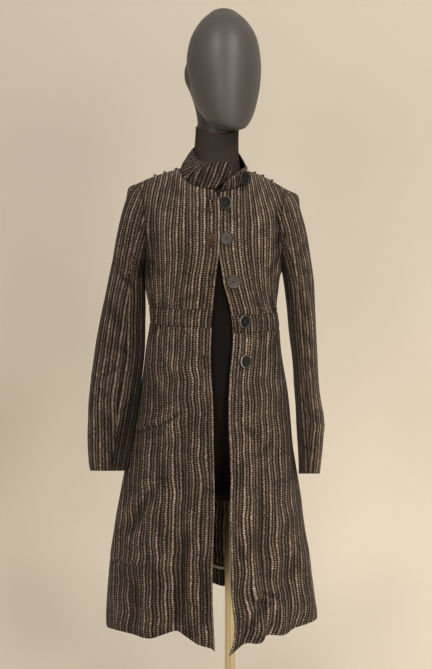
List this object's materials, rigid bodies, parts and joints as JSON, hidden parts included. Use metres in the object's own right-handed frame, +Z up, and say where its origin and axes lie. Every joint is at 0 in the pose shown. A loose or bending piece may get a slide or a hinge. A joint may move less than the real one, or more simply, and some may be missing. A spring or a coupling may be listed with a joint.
{
  "type": "coat dress on a headed dress form with pole stand",
  "caption": "Knee-length striped coat dress with funnel collar, empire band and button front, worn by a limbless headed dress form on a pole with a round base.",
  "frame": {"origin": "centre of the round base's underside, on the pole axis", "axes": "+Z up along the pole, -Y the front of the garment, +X the wearer's left"},
  "size_m": [0.5132, 0.4201, 1.754],
  "materials": {
    "striped_cloth": "dark brown cloth with tan woven stripes",
    "binding_tape": "pale grey woven tape",
    "button": "dark grey, softly polished, raised rim",
    "thread": "dark brown thread",
    "form_cover": "matte dark jersey cover",
    "head_paint": "satin grey paint",
    "brass": "polished brass tone metal"
  },
  "bodies": {
    "root": {"bodice_right_front": "striped_cloth", "bodice_left_front": "striped_cloth", "bodice_back": "striped_cloth", "band_right_front": "striped_cloth", "band_left_front": "striped_cloth", "band_back": "striped_cloth", "skirt_right_front": "striped_cloth", "skirt_left_front": "striped_cloth", "skirt_back": "striped_cloth", "collar": "striped_cloth", "sleeve_right_top": "striped_cloth", "sleeve_right_under": "striped_cloth", "sleeve_left_top": "striped_cloth", "sleeve_left_under": "striped_cloth", "hem_binding_back": "binding_tape", "button_1": "button", "button_2": "button", "button_3": "button", "button_4": "button", "button_5": "button", "button_6": "button", "knot_1": "thread", "knot_2": "thread", "knot_3": "thread", "knot_4": "thread", "knot_5": "thread", "knot_6": "thread", "form_torso": "form_cover", "form_head": "head_paint", "pole": "brass", "base_plate": "brass"}
  },
  "joints": []
}
